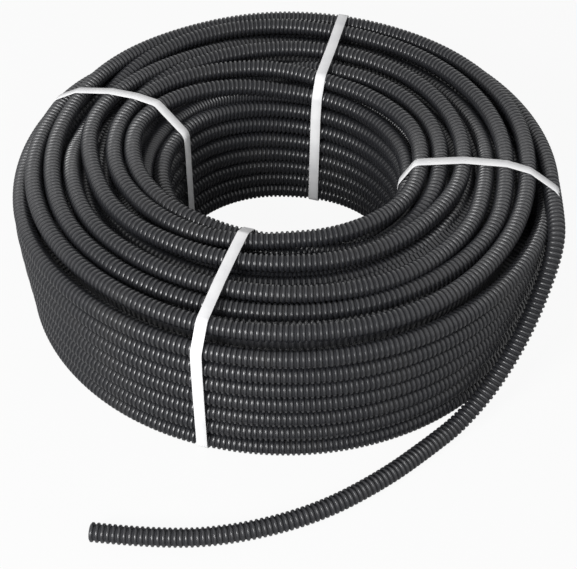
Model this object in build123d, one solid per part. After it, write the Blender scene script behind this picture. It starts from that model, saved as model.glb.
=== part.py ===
"""A 100 m coil of corrugated conduit, tied with four flat straps, with one end lying free.

The origin is on the coil's axis, at the level of the floor that it lies on. +Z is up, and
-Y is the side that the free end lies on. Sizes are in millimetres.
"""

from build123d import *
import os
from math import radians, tan

# Conduit: outside over the ribs, and the wave of its wall
conduit_diameter = 20.0
rib_pitch = 5.5
rib_height = 1.8
rib_crest = 2.0
rib_foot = 3.8
conduit_wall = 0.6
open_end_ribs = 6

# Winding: the turns that show on the outside, the top, the bore wall and the underside
bore_diameter = 266.0
coil_diameter = 604.0
wall_flare = 5.0
wall_turns = 8
wall_turn_step = 21.3
bore_turn_step = 22.7
top_turns = 7
top_crown = 4.0
shoulder_inset = 8.0
base_turns = 8

# Straps: flat bands drawn tight round the section
strap_width = 12.0
strap_thickness = 0.7
strap_gap = 0.3
strap_angles = {"front": -105.5, "back": 74.5, "left": 153.0}

# Free end: its route from the top outer turn, down the outside and out over the floor. Each
# point is an angle round the coil, how far the conduit is clear of the coil's side, and the share
# of the way down from the top outer turn to the floor.
route = [
    (26.0, -28.0, 0.0),
    (10.0, -22.0, 0.0),
    (-5.0, -17.0, 0.01),
    (-15.5, -7.5, 0.025),
    (-21.5, 0.0, 0.085),
    (-27.5, 2.5, 0.235),
    (-35.0, 2.5, 0.53),
    (-44.0, 5.5, 0.8),
    (-53.0, 7.5, 0.965),
    (-60.5, 11.0, 1.0),
    (-72.0, 27.6, 1.0),
    (-84.0, 59.5, 1.0),
    (-95.2, 87.1, 1.0),
    (-105.4, 110.1, 1.0),
    (-115.3, 128.4, 1.0),
]
under_right_strap = 2
first_rib_at = 215.0
leaving_inset = 0.1
leaving_lap = 0.6

turn_radius = conduit_diameter / 2
root_radius = turn_radius - rib_height
inner_radius = root_radius - conduit_wall
lowest_turn = strap_thickness + strap_gap + turn_radius
shoulder_height = lowest_turn + (wall_turns - 1) * wall_turn_step
strap_angles["right"] = route[under_right_strap][0]


def turn_centres():
    """Centres (radius, height) of the turns that show, going once round the section."""
    inner = bore_diameter / 2 + turn_radius
    outer_top = coil_diameter / 2 - turn_radius
    outer_base = outer_top - wall_flare
    base_step = (outer_base - inner) / (base_turns - 1)
    base = [(inner + i * base_step, lowest_turn) for i in range(base_turns)]
    flare = wall_flare / (wall_turns - 2)
    wall = [
        (outer_base + i * flare, lowest_turn + i * wall_turn_step) for i in range(1, wall_turns - 1)
    ]
    shoulder = (outer_top - shoulder_inset, shoulder_height)
    rim = (inner, lowest_turn + (wall_turns - 1) * bore_turn_step)
    top = []
    for i in range(top_turns):
        share = i / (top_turns - 1)
        radius = shoulder[0] + share * (rim[0] - shoulder[0])
        height = shoulder[1] + share * (rim[1] - shoulder[1]) + 4 * top_crown * share * (1 - share)
        top.append((radius, height))
    bore = [(inner, lowest_turn + i * bore_turn_step) for i in range(wall_turns - 2, 0, -1)]
    return base + wall + top + bore


def route_point(clear_of_side, share_down):
    """A point of the route as (distance from the coil's axis, height)."""
    height = shoulder_height - share_down * (shoulder_height - turn_radius)
    return coil_diameter / 2 + turn_radius + clear_of_side, height


def coil_body():
    """The winding as one turned solid: a round lobe for each turn on a filled section."""
    centres = turn_centres()
    with BuildPart() as body:
        with BuildSketch(Plane.XZ):
            with BuildLine():
                Polyline(*centres, close=True)
            make_face()
            with Locations(*centres):
                Circle(turn_radius)
        revolve(axis=Axis.Z)
    return body.part


def free_end_path():
    """Straight runs joined by arcs as large as the two runs at each point allow."""
    points = []
    for angle, clear_of_side, share_down in route:
        radius, height = route_point(clear_of_side, share_down)
        points.append(Vector(radius, 0, height).rotate(Axis.Z, angle))
    radii = []
    for before, here, after in zip(points, points[1:], points[2:]):
        shorter = min((here - before).length, (after - here).length)
        turn = (here - before).get_angle(after - here)
        radii.append(0.45 * shorter / tan(radians(turn) / 2))
    print("free end radii", [round(radius) for radius in radii])
    return FilletPolyline(*points, radius=radii), points


def ribbed_cell(start, end, seam_side, start_cut, end_cut):
    """One rib and half the valley on each side of it, cut by a plane at each end."""
    length = (end - start).length
    spare = rib_pitch / 4
    foot, crest = rib_foot / 2, rib_crest / 2
    profile = Polyline(
        (0, 0, -spare),
        (root_radius, 0, -spare),
        (root_radius, 0, length / 2 - foot),
        (turn_radius, 0, length / 2 - crest),
        (turn_radius, 0, length / 2 + crest),
        (root_radius, 0, length / 2 + foot),
        (root_radius, 0, length + spare),
        (0, 0, length + spare),
        close=True,
    )
    place = Plane(origin=start, x_dir=seam_side, z_dir=end - start).location
    cell = place * revolve(make_face(profile), axis=Axis.Z)
    cell = split(cell, Plane(origin=start, z_dir=start_cut), keep=Keep.TOP)
    return split(cell, Plane(origin=end, z_dir=end_cut), keep=Keep.BOTTOM)


def ribbed_run(path, first, last):
    """The ribs from one distance along the route to another, sewn into one closed solid.

    Each cut lies midway between the directions of the two ribs beside it, and the seam of each
    rib is the one before mirrored in that cut, so the ribs meet exactly.
    """
    count = round((last - first) / rib_pitch)
    stops = [path @ ((first + (last - first) * i / count) / path.length) for i in range(count + 1)]
    ways = [(end - start).normalized() for start, end in zip(stops, stops[1:])]
    midways = [(before + after).normalized() for before, after in zip(ways, ways[1:])]
    cuts = [ways[0], *midways, ways[-1]]
    seam_side = ways[0].cross(Vector(0, 0, 1)).normalized()
    skins = []
    for i in range(count):
        cell = ribbed_cell(stops[i], stops[i + 1], seam_side, cuts[i], cuts[i + 1])
        seam_side -= cuts[i + 1] * (2 * seam_side.dot(cuts[i + 1]))
        skins += [face for face in cell.faces() if face.geom_type != GeomType.PLANE]
        flats = cell.faces().filter_by(GeomType.PLANE)
        if i == 0:
            skins.append(flats.sort_by_distance(stops[i])[0])
        if i == count - 1:
            skins.append(flats.sort_by_distance(stops[i + 1])[0])
    print("ribs along the free end", count)
    return Solid(Shell(skins))


def open_end(place):
    """The last ribs, with the wall's true wave inside and out, turned about the end's axis."""
    valley = rib_pitch - rib_foot
    outside, inside = [], []
    for i in range(open_end_ribs):
        start = i * rib_pitch
        rise = start + valley / 2
        slope = (rib_foot - rib_crest) / 2
        steps = (
            (start, 0.0),
            (rise, 0.0),
            (rise + slope, rib_height),
            (rise + slope + rib_crest, rib_height),
            (rise + rib_foot, 0.0),
        )
        outside += [(root_radius + height, 0, along) for along, height in steps]
        inside += [(inner_radius + height, 0, along) for along, height in steps]
    length = open_end_ribs * rib_pitch
    outside.append((root_radius, 0, length))
    inside.append((inner_radius, 0, length))
    profile = Polyline(*outside, *reversed(inside), close=True)
    return place * revolve(make_face(profile), axis=Axis.Z)


def free_end():
    """The free end: a plain stretch that leaves the coil, the ribbed run, the open end."""
    path, points = free_end_path()
    last = (points[-1] - points[-2]).normalized()
    end_length = open_end_ribs * rib_pitch
    stem_end = path.length - end_length
    ribs = ribbed_run(path, first_rib_at, stem_end)
    leaving = path.trim(0, (first_rib_at + leaving_lap) / path.length)
    section = Plane(origin=leaving @ 0, z_dir=leaving % 0) * Circle(turn_radius - leaving_inset)
    plain = sweep(section, path=leaving)
    joint = points[-1] - last * end_length
    print("free end length", round(path.length, 1))
    return plain, ribs, open_end(Plane(origin=joint, z_dir=last).location)


def conduit():
    """The whole length of conduit, coil and free end, as one solid."""
    return coil_body().fuse(*free_end())


def strap(side):
    """A band bent round the section at its angle: the section's taut outline, made thick."""
    centres = turn_centres()
    if side == "right":
        centres.append(route_point(*route[under_right_strap][1:]))
    inner_outline = taut_outline(centres, turn_radius + strap_gap)
    outer_outline = taut_outline(centres, turn_radius + strap_gap + strap_thickness)
    band = extrude(outer_outline - inner_outline, amount=strap_width / 2, both=True)
    return Rot(0, 0, strap_angles[side]) * (Rot(90, 0, 0) * band)


def taut_outline(centres, radius):
    """The face inside a line drawn tight round circles."""
    circles = [Edge.make_circle(radius, Plane(origin=(x, y, 0))) for x, y in centres]
    return Sketch() + Face(make_hull(circles).faces()[0].outer_wire())


if __name__ == "__main__":
    os.makedirs("parts", exist_ok=True)
    export_step(conduit(), "parts/conduit.step")
    for side in strap_angles:
        export_step(strap(side), f"parts/strap_{side}.step")
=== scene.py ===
"""Looks for a 100 m coil of corrugated conduit, tied with four flat straps.

All the winding that shows is laid as ribbed tube. One long lay starts where the free end leaves
the coil: down the outer wall, in across the underside, up the bore and over its rim. Further lays
make the top. Each lay is a list of knots: the angle round the coil, which grows past a full turn,
the distance from the coil's axis, and the height. Sizes are in metres.
"""

from math import cos, radians, sin

import bpy
import numpy as np
from mathutils import Matrix, Vector


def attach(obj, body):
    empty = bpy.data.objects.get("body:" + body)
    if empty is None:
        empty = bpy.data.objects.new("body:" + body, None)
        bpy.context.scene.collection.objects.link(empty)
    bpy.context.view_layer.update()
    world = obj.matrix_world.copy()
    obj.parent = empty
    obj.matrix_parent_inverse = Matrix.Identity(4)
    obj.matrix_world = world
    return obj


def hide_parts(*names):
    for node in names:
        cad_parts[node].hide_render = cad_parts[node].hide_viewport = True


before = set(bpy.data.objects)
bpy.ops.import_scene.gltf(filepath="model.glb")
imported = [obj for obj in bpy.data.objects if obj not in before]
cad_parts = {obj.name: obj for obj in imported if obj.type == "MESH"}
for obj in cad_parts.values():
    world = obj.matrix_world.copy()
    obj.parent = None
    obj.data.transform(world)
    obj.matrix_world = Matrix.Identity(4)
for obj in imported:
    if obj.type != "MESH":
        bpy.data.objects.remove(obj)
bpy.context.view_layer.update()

# Conduit, as in the solids
CREST_RADIUS = 0.010
ROOT_RADIUS = 0.0082
WALL = 0.0006
PITCH = 0.0055
VALLEY = 0.0017
FLANK = 0.0009
CREST = 0.0020
OPEN_END = 0.033

# One rib: where its faces start along the conduit, and the share of its height risen there
RIB_CORNERS = np.array([0.0, VALLEY, VALLEY + FLANK, VALLEY + FLANK + CREST])
RIB_RISES = [0.0, 0.0, 1.0, 1.0]

# Winding, as in the solids
COIL_RADIUS = 0.302
BORE_TURN = 0.143
LOWEST_TURN = 0.011
SHOULDER = 0.1601
MIDDLE = 0.2175
SIDE_TURNS = 7
LOWEST_WALL_TURN = 0.2855

# The free end's route: angle round the coil, distance beyond its side, share of the way down
ROUTE = [
    (-5.0, -0.0070, 0.010),
    (-15.5, 0.0025, 0.025),
    (-21.5, 0.0100, 0.085),
    (-27.5, 0.0125, 0.235),
    (-35.0, 0.0125, 0.530),
    (-44.0, 0.0120, 0.800),
    (-53.0, 0.0135, 0.965),
    (-60.5, 0.0190, 1.000),
    (-72.0, 0.0410, 1.000),
    (-84.0, 0.0710, 1.000),
    (-95.2, 0.0971, 1.000),
    (-105.4, 0.1201, 1.000),
    (-115.3, 0.1384, 1.000),
]

# Where the lays cross from one level to the next, at the back of the coil
CROSS_START = 60.0
CROSS_END = 150.0

# Lays: degrees from point to point, and the degrees that their corners are rounded over
LAY_STEP = 0.5
LAY_SOFTNESS = 18.0

# Straps: each one's angle in the middle of the winding, how far it runs askew, in degrees for each
# metre outwards, and how far it bows, in degrees for each metre squared
STRAP_WIDTH = 0.012
STRAP_THICKNESS = 0.0007
STRAP_GAP = 0.0003
STRAPS = {
    "front": (-106.7, 4.0, 0.0),
    "back": (75.0, 12.0, 0.0),
    "left": (151.8, 50.0, 700.0),
    "right": (-4.3, 0.0, -700.0),
}


def lay(knots):
    """Points along a lay, from its first knot to its last.

    Distance and height are the straight lines between the knots, averaged over a window of
    LAY_SOFTNESS degrees, which rounds their corners. A point is (distance * cos angle,
    distance * sin angle, height).
    """
    table = np.array(knots)
    angles = np.arange(table[0, 0], table[-1, 0], LAY_STEP)
    window = np.linspace(-LAY_SOFTNESS / 2, LAY_SOFTNESS / 2, 13)
    spread = angles[:, None] + window[None, :]
    distance = np.interp(spread, table[:, 0], table[:, 1]).mean(axis=1)
    height = np.interp(spread, table[:, 0], table[:, 2]).mean(axis=1)
    turn = np.radians(angles)
    return {
        "angles": angles,
        "distance": distance,
        "height": height,
        "points": np.stack([distance * np.cos(turn), distance * np.sin(turn), height], axis=1),
    }


def closed_lay(knots):
    """A lay that ends where it began: its knots are repeated one turn before and after."""
    before = [(angle - 360.0, *rest) for angle, *rest in knots]
    after = [(angle + 360.0, *rest) for angle, *rest in knots]
    ring = lay(before + knots + after)
    start = knots[0][0]
    keep = (ring["angles"] >= start) & (ring["angles"] < start + 360.0)
    return {key: values[keep] for key, values in ring.items()}


def strap_angle(run, distance):
    """A strap's angle at this distance: angle + askew * x + bow * x * x, x from the middle."""
    angle, askew, bow = run
    out = distance - MIDDLE
    return angle + askew * out + bow * out * out


def sections(lays, strap):
    """Centres (distance, height) of every tube that a strap's surface cuts.

    The strap's angle depends on a tube's distance and the distance on the angle, so each is
    worked out from the other in turn, which settles at once.
    """
    angle = strap[0]
    found = []
    for run in lays:
        first, last = run["angles"][0], run["angles"][-1]
        turns = np.arange(np.ceil((first - angle) / 360.0), np.floor((last - angle) / 360.0) + 1)
        at = angle + 360.0 * turns
        for _ in range(3):
            distance = np.interp(at, run["angles"], run["distance"])
            at = 360.0 * turns + strap_angle(strap, distance)
        found.append(np.stack([distance, np.interp(at, run["angles"], run["height"])], axis=1))
    return np.concatenate(found)


def wall_knots():
    """Down the outer wall: each turn keeps its level and drops one at the back.

    The lists go from the lowest level up: distance, height at the front and at the right, where
    the free end's turn lies above, how far the turn bulges at the left, and how far it is tucked
    in at the back.
    """
    distances = [LOWEST_WALL_TURN, 0.2865, 0.2880, 0.2895, 0.2905, 0.2915, 0.2917]
    front = [0.0110, 0.0350, 0.0585, 0.0820, 0.1042, 0.1265, 0.1492]
    right = [0.0110, 0.0325, 0.0538, 0.0751, 0.0964, 0.1177, 0.1390]
    bulge = [0.0, 0.0010, 0.0020, 0.0030, 0.0040, 0.0045, 0.0045]
    tuck = [0.0, 0.0, 0.0, 0.0, 0.0, 0.0020, 0.0050]
    knots = [
        (-5.0, 0.2950, 0.1586),
        (10.0, 0.2935, 0.1580),
        (30.0, 0.2930, 0.1570),
        (CROSS_START, 0.2925, 0.1550),
        (125.0, 0.2855, 0.1505),
    ]
    for turn in range(SIDE_TURNS):
        level = SIDE_TURNS - 1 - turn
        base = 360.0 * turn
        distance, height = distances[level], front[level]
        knots += [
            (base + CROSS_END, distance - tuck[level], height),
            (base + 180.0, distance, height),
            (base + 205.0, distance + bulge[level], height),
            (base + 235.0, distance, height),
            (base + 338.0, distance, height),
            (base + 355.0, distance, right[level]),
            (base + 360.0 + CROSS_START, distance, right[level]),
        ]
    return knots


def base_knots(start_turn):
    """In across the underside: each turn keeps its distance and steps inwards at the back."""
    step = (LOWEST_WALL_TURN - BORE_TURN) / SIDE_TURNS
    cross_start = CROSS_START - 10.0
    knots = []
    for turn in range(SIDE_TURNS):
        base = 360.0 * (start_turn + turn)
        distance = LOWEST_WALL_TURN - step * (turn + 1)
        knots.append((base + CROSS_END, distance, LOWEST_TURN))
        knots.append((base + 360.0 + cross_start, distance, LOWEST_TURN))
    return knots


def bore_knots(start_turn):
    """Up the bore: each turn's height at the right, the back and the left, then over the rim."""
    right = [0.0275, 0.0450, 0.0635, 0.0835, 0.1055, 0.1285, 0.1520]
    back = [0.0110, 0.0275, 0.0455, 0.0650, 0.0855, 0.1085, 0.1310]
    left = [0.0170, 0.0340, 0.0560, 0.0780, 0.1020, 0.1260, 0.1480]
    lowest, others = 0.1355, 0.1385
    knots = []
    for turn in range(SIDE_TURNS):
        base = 360.0 * (start_turn + turn)
        distance = lowest if turn == 0 else others
        knots.append((base + 85.0, distance, back[turn]))
        knots.append((base + 140.0, distance, left[turn]))
        knots.append((base + 405.0, others, right[turn]))
    base = 360.0 * (start_turn + SIDE_TURNS)
    rim = [
        (90.0, 0.1430, 0.1550),
        (100.0, 0.1450, 0.1600),
        (120.0, 0.1540, 0.1665),
        (140.0, 0.1673, 0.1695),
        (160.0, 0.1780, 0.1704),
        (175.0, 0.1725, 0.1704),
        (186.0, 0.1675, 0.1704),
        (210.0, 0.1545, 0.1700),
        (230.0, 0.1430, 0.1680),
        (245.0, 0.1360, 0.1630),
        (262.0, 0.1310, 0.1590),
        (275.0, 0.1320, 0.1550),
        (290.0, 0.1420, 0.1500),
        (305.0, 0.1570, 0.1490),
        (318.0, 0.1660, 0.1560),
        (332.0, 0.1710, 0.1660),
        (350.0, 0.1705, 0.1690),
        (380.0, 0.1770, 0.1700),
        (405.0, 0.1785, 0.1700),
        (430.0, 0.1775, 0.1690),
        (445.0, 0.1800, 0.1630),
        (456.0, 0.1860, 0.1540),
        (470.0, 0.1900, 0.1480),
    ]
    return knots + [(base + angle, distance, height) for angle, distance, height in rim]


wall_and_bore = lay(wall_knots() + base_knots(SIDE_TURNS) + bore_knots(2 * SIDE_TURNS))

top_outer = lay(
    [
        (108.0, 0.2620, 0.1450),
        (124.0, 0.2710, 0.1480),
        (140.0, 0.2765, 0.1550),
        (150.0, 0.2795, 0.1610),
        (160.0, 0.2800, 0.1630),
        (186.0, 0.2790, 0.1640),
        (210.0, 0.2770, 0.1650),
        (230.0, 0.2750, 0.1670),
        (250.0, 0.2760, 0.1680),
        (270.0, 0.2750, 0.1680),
        (300.0, 0.2765, 0.1680),
        (330.0, 0.2690, 0.1680),
        (350.0, 0.2670, 0.1680),
        (362.0, 0.2700, 0.1680),
        (380.0, 0.2780, 0.1680),
        (405.0, 0.2840, 0.1670),
        (435.0, 0.2835, 0.1670),
        (452.0, 0.2830, 0.1670),
        (463.0, 0.2795, 0.1670),
        (475.0, 0.2740, 0.1675),
        (487.0, 0.2725, 0.1680),
        (500.0, 0.2710, 0.1680),
        (510.0, 0.2670, 0.1680),
        (520.0, 0.2620, 0.1680),
        (535.0, 0.2600, 0.1680),
        (546.0, 0.2575, 0.1685),
        (570.0, 0.2570, 0.1690),
        (588.0, 0.2520, 0.1680),
        (606.0, 0.2435, 0.1620),
        (630.0, 0.2390, 0.1605),
        (660.0, 0.2430, 0.1615),
        (680.0, 0.2480, 0.1655),
        (694.0, 0.2500, 0.1690),
        (710.0, 0.2425, 0.1700),
        (740.0, 0.2500, 0.1700),
        (765.0, 0.2546, 0.1700),
        (790.0, 0.2564, 0.1700),
        (810.0, 0.2606, 0.1700),
        (820.0, 0.2630, 0.1700),
        (840.0, 0.2580, 0.1690),
        (858.0, 0.2530, 0.1640),
        (870.0, 0.2460, 0.1530),
        (884.0, 0.2400, 0.1500),
        (895.0, 0.2390, 0.1600),
        (906.0, 0.2365, 0.1680),
        (930.0, 0.2350, 0.1695),
        (950.0, 0.2270, 0.1700),
        (970.0, 0.2230, 0.1704),
        (990.0, 0.2220, 0.1704),
        (1020.0, 0.2285, 0.1704),
        (1050.0, 0.2270, 0.1700),
        (1070.0, 0.2205, 0.1690),
        (1100.0, 0.2315, 0.1580),
        (1125.0, 0.2430, 0.1520),
        (1150.0, 0.2500, 0.1510),
        (1170.0, 0.2500, 0.1510),
        (1182.0, 0.2435, 0.1560),
        (1200.0, 0.2280, 0.1650),
        (1220.0, 0.2285, 0.1680),
        (1240.0, 0.2310, 0.1700),
        (1255.0, 0.2220, 0.1700),
        (1266.0, 0.2125, 0.1700),
        (1290.0, 0.2040, 0.1704),
        (1310.0, 0.1890, 0.1704),
        (1330.0, 0.1815, 0.1704),
        (1350.0, 0.1760, 0.1704),
        (1380.0, 0.1810, 0.1704),
        (1410.0, 0.1860, 0.1704),
        (1430.0, 0.1955, 0.1704),
        (1460.0, 0.2040, 0.1704),
        (1485.0, 0.2115, 0.1704),
        (1510.0, 0.2135, 0.1704),
        (1530.0, 0.2115, 0.1704),
        (1540.0, 0.2095, 0.1704),
        (1560.0, 0.2080, 0.1690),
        (1578.0, 0.2145, 0.1600),
        (1592.0, 0.2165, 0.1500),
        (1606.0, 0.2160, 0.1480),
    ]
)

top_inner = closed_lay(
    [
        (-90.0, 0.1395, 0.1700),
        (-60.0, 0.1420, 0.1700),
        (-30.0, 0.1480, 0.1700),
        (-10.0, 0.1495, 0.1700),
        (20.0, 0.1540, 0.1700),
        (45.0, 0.1495, 0.1700),
        (70.0, 0.1495, 0.1700),
        (85.0, 0.1605, 0.1700),
        (95.0, 0.1695, 0.1700),
        (105.0, 0.1755, 0.1700),
        (120.0, 0.1850, 0.1700),
        (140.0, 0.1973, 0.1700),
        (152.0, 0.1997, 0.1700),
        (160.0, 0.1990, 0.1700),
        (175.0, 0.1930, 0.1700),
        (186.0, 0.1885, 0.1700),
        (210.0, 0.1740, 0.1700),
        (230.0, 0.1630, 0.1700),
        (250.0, 0.1515, 0.1700),
    ]
)

under_top = closed_lay(
    [
        (-90.0, 0.1900, 0.1520),
        (-60.0, 0.1920, 0.1520),
        (-30.0, 0.1955, 0.1520),
        (20.0, 0.2120, 0.1500),
        (60.0, 0.2280, 0.1500),
        (90.0, 0.2310, 0.1490),
        (130.0, 0.2300, 0.1490),
        (180.0, 0.2070, 0.1500),
        (210.0, 0.2045, 0.1520),
        (225.0, 0.1990, 0.1520),
    ]
)

all_lays = [wall_and_bore, top_outer, top_inner, under_top]


def make_piece(name, points, faces, uv, material, rise=None, normals=None):
    """A mesh object from arrays: its points, and one array of faces for each number of sides.

    The normals belong to the corners of the first faces, and a corner past them keeps its own.
    """
    mesh = bpy.data.meshes.new(name)
    corners = np.concatenate([face.ravel() for face in faces]).astype(np.int32)
    sizes = np.concatenate([np.full(len(face), face.shape[1]) for face in faces]).astype(np.int32)
    starts = np.concatenate([[0], np.cumsum(sizes)[:-1]]).astype(np.int32)
    mesh.vertices.add(len(points))
    mesh.vertices.foreach_set("co", points.astype(np.float32).ravel())
    mesh.loops.add(len(corners))
    mesh.loops.foreach_set("vertex_index", corners)
    mesh.polygons.add(len(sizes))
    mesh.polygons.foreach_set("loop_start", starts)
    mesh.update(calc_edges=True)
    layer = mesh.uv_layers.new(name="UVMap")
    layer.data.foreach_set("uv", uv.astype(np.float32).ravel())
    if rise is not None:
        heights = mesh.attributes.new("rise", "FLOAT", "POINT")
        heights.data.foreach_set("value", rise.astype(np.float32))
    mesh.polygons.foreach_set("use_smooth", np.ones(len(sizes), dtype=bool))
    mesh.validate()
    if normals is not None:
        given = np.zeros((len(corners), 3), dtype=np.float32)
        given[: len(normals)] = normals
        mesh.normals_split_custom_set(given)
    piece = bpy.data.objects.new(name, mesh)
    bpy.context.scene.collection.objects.link(piece)
    mesh.materials.append(material)
    return piece


def grid_faces(along, around, closed):
    """Four-sided faces of a grid that wraps round, and joins end to start where it is closed."""
    last = along if closed else along - 1
    i = np.arange(last)[:, None]
    j = np.arange(around)[None, :]
    i_next, j_next = (i + 1) % along, (j + 1) % around
    quads = np.stack(
        [
            i * around + j,
            i_next * around + j,
            i_next * around + j_next,
            i * around + j_next,
        ],
        axis=-1,
    ).reshape(-1, 4)
    u = np.stack([i + 0 * j, i + 1 + 0 * j, i + 1 + 0 * j, i + 0 * j], axis=-1)
    v = np.stack([j + 0 * i, j + 0 * i, j + 1 + 0 * i, j + 1 + 0 * i], axis=-1)
    return quads, u.reshape(-1), v.reshape(-1)


def swept(name, rings, distances, material, rise=None, closed=False, normals=None):
    """A skin over rings of points; an open one is closed at both ends by a fan to a middle point.

    u is the distance along in metres, v the share of the way round.
    """
    along, around = rings.shape[:2]
    quads, u, v = grid_faces(along, around, closed)
    measured = np.append(distances, distances[-1] + (distances[1] - distances[0]))
    uv = np.stack([measured[u], v / around], axis=1)
    points = rings.reshape(-1, 3)
    faces = [quads]
    if not closed:
        j = np.arange(around)
        j_next = (j + 1) % around
        first, last = len(points), len(points) + 1
        points = np.concatenate([points, rings[:1].mean(axis=1), rings[-1:].mean(axis=1)])
        base = (along - 1) * around
        faces.append(np.stack([np.full(around, first), j, j_next], axis=1))
        faces.append(np.stack([np.full(around, last), base + j_next, base + j], axis=1))
        ends = np.repeat([distances[0], distances[-1]], 3 * around)
        share = np.tile(np.repeat(j / around, 3), 2)
        uv = np.concatenate([uv, np.stack([ends, share], axis=1)])
        if rise is not None:
            rise = np.append(rise, [0.0, 0.0])
    return make_piece(name, points, faces, uv, material, rise, normals)


def directions(line, closed=False):
    """At each point of a line: the way along it, the level side way, and the way up from both."""
    if closed:
        along = np.roll(line, -1, axis=0) - np.roll(line, 1, axis=0)
    else:
        along = np.gradient(line, axis=0)
    along /= np.linalg.norm(along, axis=1, keepdims=True)
    side = np.cross(along, np.array([0.0, 0.0, 1.0]))
    side /= np.linalg.norm(side, axis=1, keepdims=True)
    return along, side, np.cross(side, along)


def walked(line):
    """Distance walked along a line, at each of its points."""
    steps = np.linalg.norm(np.diff(line, axis=0), axis=1)
    return np.concatenate([[0.0], np.cumsum(steps)])


def walked_over(path):
    """Distance covered when going out along a path and back."""
    return np.concatenate([[0.0], np.cumsum(np.abs(np.diff(path)))])


def along_line(line, distances):
    """The points of a line at these distances along it."""
    ruler = walked(line)
    return np.stack([np.interp(distances, ruler, line[:, k]) for k in range(3)], axis=1)


def ring_points(centres, radii, turns, closed=False):
    """Ring of points round each centre: centre + radius * (cos turn * side + sin turn * up)."""
    along, side, up = directions(centres, closed)
    turns = np.radians(turns)
    spoke = side[:, None, :] * np.cos(turns)[None, :, None]
    spoke = spoke + up[:, None, :] * np.sin(turns)[None, :, None]
    return centres[:, None, :] + radii[:, None, None] * spoke


def rib_radius(rise):
    """The conduit's radius where its wall has risen by this share of a rib's height."""
    return ROOT_RADIUS + (CREST_RADIUS - ROOT_RADIUS) * rise


# Tilt of the surface where each face of the wave starts and ends: valley, flank, crest, flank
TILT_START = np.radians([0.0, -60.0, -14.0, 60.0])
TILT_END = np.radians([0.0, -60.0, 14.0, 60.0])


def rib_normals(rings, centres, closed):
    """Normals at the corners of every face of a ribbed tube: a softly rounded crest.

    A corner's normal is cos tilt * spoke + sin tilt * along, where the spoke points from the
    ring's centre to the corner, and along is the way the tube runs.
    """
    spokes = rings - centres[:, None, :]
    spokes /= np.linalg.norm(spokes, axis=2, keepdims=True)
    along = directions(centres, closed)[0][:, None, :]
    here = np.arange(len(rings) if closed else len(rings) - 1)
    after = (here + 1) % len(rings)
    face = here % len(RIB_CORNERS)
    start, end = TILT_START[face, None, None], TILT_END[face, None, None]
    first = np.cos(start) * spokes[here] + np.sin(start) * along[here]
    last = np.cos(end) * spokes[after] + np.sin(end) * along[after]
    quads = [first, last, np.roll(last, -1, axis=1), np.roll(first, -1, axis=1)]
    return np.stack(quads, axis=2).reshape(-1, 3)


# Points round a turn, in degrees from the outward side: close together where the turn shows
SHOWS_OUTSIDE = np.array([-100, -74, -52, -32, -12, 8, 28, 48, 70, 96, 150, 205])
SHOWS_ABOVE = np.array([-20, 8, 30, 50, 70, 90, 110, 130, 152, 178, 232, 288])
SHOWS_INSIDE = SHOWS_OUTSIDE + 180
SHOWS_BELOW = np.array([-170, -135, -90, -45, -10, 45, 90, 135])
ROUND = np.arange(0, 360, 15)


def turns_piece(name, line, shows, material, start=0.0, end=None, closed=False):
    """Ribbed tube along part of a line, or round a closed one.

    The radius is a wave: valley, flank, crest and flank, once each pitch. On a closed line the
    pitch is changed a little, so that a whole number of ribs goes round.
    """
    if closed:
        line = np.concatenate([line, line[:1]])
    length = walked(line)[-1]
    end = length - PITCH if end is None else end
    ribs = np.arange(round(start / PITCH), round(end / PITCH))
    stretch = 1.0
    if closed:
        ribs = np.arange(round(length / PITCH))
        stretch = length / (len(ribs) * PITCH)
    distances = (ribs[:, None] * PITCH + RIB_CORNERS[None, :]).ravel() * stretch
    wave = np.tile(RIB_RISES, len(ribs))
    if not closed:
        last_rib = distances[-len(RIB_CORNERS)]
        distances = np.append(distances, last_rib + PITCH)
        wave = np.append(wave, 0.0)
    centres = along_line(line, distances)
    rings = ring_points(centres, rib_radius(wave), shows, closed)
    rise = np.repeat(wave, len(shows))
    normals = rib_normals(rings, centres, closed)
    return swept(name, rings, distances, material, rise, closed, normals)


def free_end_line():
    """The free end's line: a smooth spline with the route's points as its control points."""
    curve = bpy.data.curves.new("free_end_route", "CURVE")
    curve.dimensions = "3D"
    curve.resolution_u = 24
    spline = curve.splines.new("NURBS")
    spline.points.add(len(ROUTE) - 1)
    for point, (angle, beyond, share) in zip(spline.points, ROUTE):
        distance = COIL_RADIUS + beyond
        height = SHOULDER - share * (SHOULDER - CREST_RADIUS)
        turn = radians(angle)
        point.co = (distance * cos(turn), distance * sin(turn), height, 1.0)
    spline.order_u = 3
    spline.use_endpoint_u = True
    holder = bpy.data.objects.new("free_end_route", curve)
    bpy.context.scene.collection.objects.link(holder)
    bpy.context.view_layer.update()
    mesh = bpy.data.meshes.new_from_object(holder)
    line = np.empty(3 * len(mesh.vertices))
    mesh.vertices.foreach_get("co", line)
    bpy.data.objects.remove(holder)
    bpy.data.meshes.remove(mesh)
    return line.reshape(-1, 3)


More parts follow.
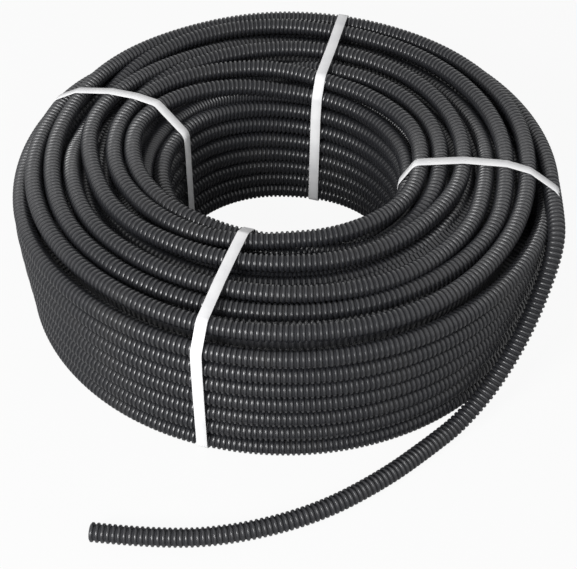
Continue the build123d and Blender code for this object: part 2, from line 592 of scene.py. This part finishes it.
def free_end_piece(material):
    """The free end: the same wave with rounded corners, then the cut edge and the inside.

    Past the cut, the rings go back inside the wall, one wall's thickness in from the wave. The
    inside counts as barely risen, so it is as dull as a valley.
    """
    line = free_end_line()
    length = walked(line)[-1]
    count = int(length / PITCH)
    bevel = 0.00022
    inside_rise = 0.15
    pairs = (RIB_CORNERS[:, None] + np.array([-bevel, bevel])[None, :]).ravel()[1:]
    pairs = np.append(pairs, PITCH - bevel)
    slope = bevel / FLANK
    heights = np.array([0.0, 0.0, slope, 1.0 - slope, 1.0, 1.0, 1.0 - slope, slope])
    distances = (np.arange(count)[:, None] * PITCH + pairs[None, :]).ravel()
    wave = np.tile(heights, count)
    distances = np.append(distances, length)
    wave = np.append(wave, 0.0)
    radii = rib_radius(wave)
    inside = distances > length - OPEN_END
    back = distances[inside][::-1]
    path = np.append(distances, back)
    all_radii = np.append(radii, radii[inside][::-1] - WALL)
    all_wave = np.append(wave, inside_rise * wave[inside][::-1])
    centres = along_line(line, distances)
    spokes = ring_points(centres, np.ones(len(distances)), ROUND)
    spokes = spokes - centres[:, None, :]
    order = np.append(np.arange(len(distances)), np.flatnonzero(inside)[::-1])
    rings = centres[order][:, None, :] + all_radii[:, None, None] * spokes[order]
    piece = swept(
        "free_end", rings, walked_over(path), material, rise=np.repeat(all_wave, rings.shape[1])
    )
    return piece, line, length


def core_piece(material):
    """The turns further in: a closed outline turned about the coil's axis, with the same wave.

    The outline has a rounded lobe for each turn of the layer below the top. A lobe's point is its
    middle + radius * (cos way, sin way), and the radius is the ribs' wave.
    """
    lobes = np.array(
        [
            (0.157, 0.149),
            (0.178, 0.150),
            (0.199, 0.150),
            (0.221, 0.150),
            (0.243, 0.150),
            (0.262, 0.148),
        ]
    )
    body = np.array(
        [
            (0.260, 0.100),
            (0.279, 0.092),
            (0.279, 0.040),
            (0.275, 0.020),
            (0.150, 0.020),
            (0.147, 0.138),
        ]
    )
    count = round(2 * np.pi * MIDDLE / PITCH)
    corners = RIB_CORNERS / PITCH
    turn = (2 * np.pi / count) * (np.arange(count)[:, None] + corners[None, :]).ravel()
    wave = np.tile(RIB_RISES, count)
    radii = rib_radius(wave)
    way = np.radians([150.0, 115.0, 80.0, 45.0])
    arc = np.stack([np.cos(way), np.sin(way)], axis=1)
    round_tops = lobes[None, :, None, :] + radii[:, None, None, None] * arc[None, None, :, :]
    round_tops = round_tops.reshape(len(radii), -1, 2)
    outline = np.concatenate([round_tops, np.repeat(body[None], len(radii), axis=0)], axis=1)
    outline = outline[:, ::-1]
    rings = np.stack(
        [
            outline[..., 0] * np.cos(turn)[:, None],
            outline[..., 0] * np.sin(turn)[:, None],
            outline[..., 1],
        ],
        axis=-1,
    )
    rise = np.repeat(wave, outline.shape[1])
    return swept("inner_winding", rings, turn * MIDDLE, material, rise=rise, closed=True)


def strap_piece(side, strap, lays, material):
    """A band pulled tight round the tubes that it ties.

    For each way round, the band touches the tube that reaches furthest that way: the point is
    that tube's centre plus its radius that way. The band's corners follow these points, at the
    angle that belongs to their distance from the coil's axis.
    """
    centres = sections(lays, strap)
    step = 1.5
    ways = np.radians(np.arange(0.0, 360.0, step))
    way = np.stack([np.cos(ways), np.sin(ways)], axis=1)
    touched = centres[np.argmax(centres @ way.T, axis=0)]
    inner = CREST_RADIUS + STRAP_GAP
    outer = inner + STRAP_THICKNESS
    round_off = 0.00015
    half = STRAP_WIDTH / 2
    corners = [
        (-half + round_off, inner),
        (half - round_off, inner),
        (half, inner + round_off),
        (half, outer - round_off),
        (half - round_off, outer),
        (-half + round_off, outer),
        (-half, outer - round_off),
        (-half, inner + round_off),
    ]
    rings = []
    for offset, reach in corners:
        flat = touched + reach * way
        turn = np.radians(strap_angle(strap, flat[:, 0]))
        x = flat[:, 0] * np.cos(turn) - offset * np.sin(turn)
        y = flat[:, 0] * np.sin(turn) + offset * np.cos(turn)
        rings.append(np.stack([x, y, flat[:, 1]], axis=1))
    rings = np.stack(rings, axis=1)
    return swept("strap_band_" + side, rings, walked(rings[:, 4]), material, closed=True)


class Value:
    """A number that changes over a surface; Python's operators add the nodes that work it out."""

    def __init__(self, book, socket):
        self.book, self.socket = book, socket

    def work(self, operation, *values):
        return self.book.add("ShaderNodeMath", {"operation": operation}, dict(enumerate(values)))

    def __add__(self, other):
        return self.work("ADD", self, other)

    def __radd__(self, other):
        return self.work("ADD", other, self)

    def __sub__(self, other):
        return self.work("SUBTRACT", self, other)

    def __rsub__(self, other):
        return self.work("SUBTRACT", other, self)

    def __mul__(self, other):
        return self.work("MULTIPLY", self, other)

    def __rmul__(self, other):
        return self.work("MULTIPLY", other, self)

    def or_larger(self, other):
        """The larger of two values."""
        return self.work("MAXIMUM", self, other)

    def between(self, low, high):
        """0 below the low mark, 1 above the high one, and a smooth step from one to the other."""
        settings = {"interpolation_type": "SMOOTHSTEP"}
        values = {"Value": self, "From Min": low, "From Max": high}
        return self.book.add("ShaderNodeMapRange", settings, values)


class Nodes:
    """The nodes of a material or a world, added one at a time."""

    def __init__(self, owner):
        owner.use_nodes = True
        self.owner = owner
        self.tree = owner.node_tree
        self.tree.nodes.clear()

    def add(self, kind, settings=None, values=None, output=0):
        """A node of this kind: its settings first, then its sockets' values or links."""
        node = self.tree.nodes.new(kind)
        for key, setting in (settings or {}).items():
            setattr(node, key, setting)
        for key, value in (values or {}).items():
            if isinstance(value, Value):
                self.tree.links.new(value.socket, node.inputs[key])
            else:
                node.inputs[key].default_value = value
        return Value(self, node.outputs[output]) if node.outputs else None

    def wave(self, value):
        """The sine of a value."""
        return value.work("SINE", value)

    def mix(self, share, first, second):
        """A colour part of the way from the first to the second: sockets 6 and 7 of the node."""
        values = {"Factor": share, 6: first, 7: second}
        return self.add("ShaderNodeMix", {"data_type": "RGBA"}, values, output=2)

    def surface(self, values):
        """The finished surface, from its sockets' values."""
        shader = self.add("ShaderNodeBsdfPrincipled", values=values)
        self.add("ShaderNodeOutputMaterial", values={"Surface": shader})


def black_conduit():
    """Black moulded plastic: rubbed glossy on the crests, dull and dusty down in the valleys."""
    f = Nodes(bpy.data.materials.new("black_conduit"))
    here = f.add("ShaderNodeTexCoord", output="Object")
    rise = f.add("ShaderNodeAttribute", {"attribute_name": "rise"}, output=2)
    broad = f.add("ShaderNodeTexNoise", values={"Vector": here, "Scale": 14.0, "Detail": 3.0})
    fine = f.add("ShaderNodeTexNoise", values={"Vector": here, "Scale": 900.0, "Detail": 2.0})
    specks = f.add("ShaderNodeTexNoise", values={"Vector": here, "Scale": 330.0, "Detail": 1.0})
    valley = 1.0 - rise
    dust = valley * broad.between(0.45, 0.75) * 0.35 + specks.between(0.66, 0.74) * 0.10
    clean, dusty = (0.0120, 0.0125, 0.0150, 1.0), (0.042, 0.040, 0.038, 1.0)
    colour = f.mix(dust, clean, dusty)
    skin = f.add("ShaderNodeBump", values={"Strength": 0.12, "Distance": 0.0003, "Height": fine})
    f.surface(
        {
            "Base Color": colour,
            "Roughness": 0.27 + valley * 0.50 + broad * 0.06,
            "Specular IOR Level": 0.42,
            "Coat Weight": rise * 0.6,
            "Coat Roughness": 0.3,
            "Normal": skin,
        }
    )
    return f.owner


def white_strapping():
    """White strapping band: a fine lattice pressed into it, and a soft sheen.

    The lattice is the product of a wave along the band and a wave across it, with their radians
    to the metre along and to the whole way round the band.
    """
    f = Nodes(bpy.data.materials.new("white_strapping"))
    flat = f.add("ShaderNodeTexCoord", output="UV")
    along = f.add("ShaderNodeSeparateXYZ", values={"Vector": flat}, output="X")
    across = f.add("ShaderNodeSeparateXYZ", values={"Vector": flat}, output="Y")
    place = f.add("ShaderNodeTexCoord", output="Object")
    stain = f.add("ShaderNodeTexNoise", values={"Vector": place, "Scale": 38.0, "Detail": 3.0})
    radians_along, radians_across = 4200.0, 300.0
    ridges = f.wave(along * radians_along) * f.wave(across * radians_across)
    clean, stained = (0.80, 0.80, 0.805, 1.0), (0.71, 0.71, 0.725, 1.0)
    colour = f.mix(stain.between(0.35, 0.8), clean, stained)
    emboss = f.add(
        "ShaderNodeBump", values={"Strength": 0.2, "Distance": 0.0002, "Height": ridges}
    )
    f.surface(
        {
            "Base Color": colour,
            "Roughness": 0.50 + stain * 0.12,
            "Specular IOR Level": 0.5,
            "Normal": emboss,
        }
    )
    return f.owner


conduit_finish = black_conduit()
strap_finish = white_strapping()

long_line = wall_and_bore["points"]
ruler = walked(long_line)


def reached(turns, angle):
    """Distance walked along the long lay when it has made these turns and is at this angle."""
    return float(np.interp(360.0 * turns + angle, wall_and_bore["angles"], ruler))


half_down, at_floor = reached(4, -5.0), reached(SIDE_TURNS, 70.0)
at_bore, at_rim = reached(2 * SIDE_TURNS - 1, 150.0), reached(3 * SIDE_TURNS, 95.0)
conduit_pieces = [
    turns_piece("wall_turns_upper", long_line, SHOWS_OUTSIDE, conduit_finish, 0.0, half_down),
    turns_piece("wall_turns_lower", long_line, SHOWS_OUTSIDE, conduit_finish, half_down, at_floor),
    turns_piece("underside_turns", long_line, SHOWS_BELOW, conduit_finish, at_floor, at_bore),
    turns_piece("bore_turns", long_line, SHOWS_INSIDE, conduit_finish, at_bore, at_rim),
    turns_piece("rim_turns", long_line, SHOWS_ABOVE, conduit_finish, at_rim),
    turns_piece("top_turns_outer", top_outer["points"], SHOWS_ABOVE, conduit_finish),
    turns_piece("top_turns_inner", top_inner["points"], SHOWS_ABOVE, conduit_finish, closed=True),
    turns_piece("turns_under_top", under_top["points"], SHOWS_ABOVE, conduit_finish, closed=True),
    core_piece(conduit_finish),
]
free_end, free_line, free_length = free_end_piece(conduit_finish)
for piece in [*conduit_pieces, free_end]:
    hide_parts("conduit")
    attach(piece, "root")

# The free end as a lay, from its tip back, so that the angle grows
x, y, height = free_line[::-1].T
free_lay = {"angles": np.degrees(np.arctan2(y, x)), "distance": np.hypot(x, y), "height": height}
for side, strap in STRAPS.items():
    lays = [*all_lays, free_lay] if side == "right" else all_lays
    band = strap_piece(side, strap, lays, strap_finish)
    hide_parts("strap_" + side)
    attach(band, "root")


# Camera: its angles in radians, its distance from the coil's middle, and its lens in pixels
IMAGE_WIDTH = 577
SENSOR_WIDTH = 36.0
CAMERA_RISE = 0.74521988
CAMERA_ROLL = 0.01602863
CAMERA_AWAY = 1.7104694090
CAMERA_PAN = 0.00327374
CAMERA_TILT = -0.01096918
FOCAL_PIXELS = 1429.2446200


def make_camera():
    """The camera stands off towards -Y and above, and looks at the coil's middle."""
    rise_cos, rise_sin = cos(CAMERA_RISE), sin(CAMERA_RISE)
    place = Vector((0.0, -CAMERA_AWAY * rise_cos, CAMERA_AWAY * rise_sin))
    ahead = Vector((0.0, rise_cos, -rise_sin))
    above = Vector((0.0, rise_sin, rise_cos))
    look = (
        ahead * (cos(CAMERA_TILT) * cos(CAMERA_PAN))
        + Vector((1.0, 0.0, 0.0)) * (sin(CAMERA_PAN) * cos(CAMERA_TILT))
        + above * sin(CAMERA_TILT)
    ).normalized()
    right = look.cross(Vector((0.0, 0.0, 1.0))).normalized()
    up = right.cross(look)
    rolled_right = right * cos(CAMERA_ROLL) + up * sin(CAMERA_ROLL)
    rolled_up = up * cos(CAMERA_ROLL) - right * sin(CAMERA_ROLL)
    lens = bpy.data.cameras.new("camera")
    lens.sensor_fit = "HORIZONTAL"
    lens.sensor_width = SENSOR_WIDTH
    lens.lens = FOCAL_PIXELS / IMAGE_WIDTH * SENSOR_WIDTH
    lens.clip_start, lens.clip_end = 0.05, 50.0
    camera = bpy.data.objects.new("camera", lens)
    basis = Matrix((rolled_right, rolled_up, -look)).transposed().to_4x4()
    camera.matrix_world = Matrix.Translation(place) @ basis
    bpy.context.scene.collection.objects.link(camera)
    bpy.context.scene.camera = camera


def make_floor():
    """A plain pale floor, which the camera sees as white apart from a soft shadow."""
    whiteness = 0.93
    f = Nodes(bpy.data.materials.new("pale_floor"))
    seen = f.add("ShaderNodeLightPath", output="Is Camera Ray")
    white = f.add("ShaderNodeEmission", values={"Color": (1.0, 1.0, 1.0, 1.0), "Strength": 1.0})
    paint = f.add("ShaderNodeBsdfDiffuse", values={"Color": (0.5, 0.5, 0.5, 1.0)})
    mixed = f.add("ShaderNodeMixShader", values={0: seen * whiteness, 1: paint, 2: white})
    f.add("ShaderNodeOutputMaterial", values={"Surface": mixed})
    size = 6.0
    points = size * np.array([(-1, -1, 0), (1, -1, 0), (1, 1, 0), (-1, 1, 0)])
    uv = np.array([(0, 0), (1, 0), (1, 1), (0, 1)])
    floor = make_piece("floor", points, [np.array([[0, 1, 2, 3]])], uv, f.owner)


LAMP_AIM = Vector((0.0, 0.0, 0.1))


def make_light(name, place, size, power):
    """A flat lamp with its middle at the place, facing the middle of the coil."""
    lamp = bpy.data.lights.new(name, "AREA")
    lamp.shape = "RECTANGLE"
    lamp.size, lamp.size_y = size
    lamp.energy = power
    light = bpy.data.objects.new(name, lamp)
    facing = (LAMP_AIM - Vector(place)).to_track_quat("-Z", "Y")
    light.matrix_world = Matrix.Translation(place) @ facing.to_matrix().to_4x4()
    bpy.context.scene.collection.objects.link(light)


def make_world():
    """An even pale room, whose background is white to the camera and in reflections."""
    f = Nodes(bpy.data.worlds.new("room"))
    bpy.context.scene.world = f.owner
    camera = f.add("ShaderNodeLightPath", output="Is Camera Ray")
    glossy = f.add("ShaderNodeLightPath", output="Is Glossy Ray")
    through = f.add("ShaderNodeLightPath", output="Is Transmission Ray")
    seen = camera.or_larger(glossy).or_larger(through)
    pale = (1.0, 1.0, 1.0, 1.0)
    room = f.add("ShaderNodeBackground", values={"Color": pale, "Strength": 0.42})
    white = f.add("ShaderNodeBackground", values={"Color": pale, "Strength": 1.0})
    mixed = f.add("ShaderNodeMixShader", values={0: seen, 1: room, 2: white})
    f.add("ShaderNodeOutputWorld", values={"Surface": mixed})


make_camera()
make_floor()
make_world()
make_light("left_window", (-1.30, -1.76, 1.30), size=(0.85, 1.0), power=60.0)
make_light("right_window", (0.28, -2.12, 1.38), size=(0.5, 1.0), power=12.0)
bpy.context.scene.view_settings.view_transform = "Standard"
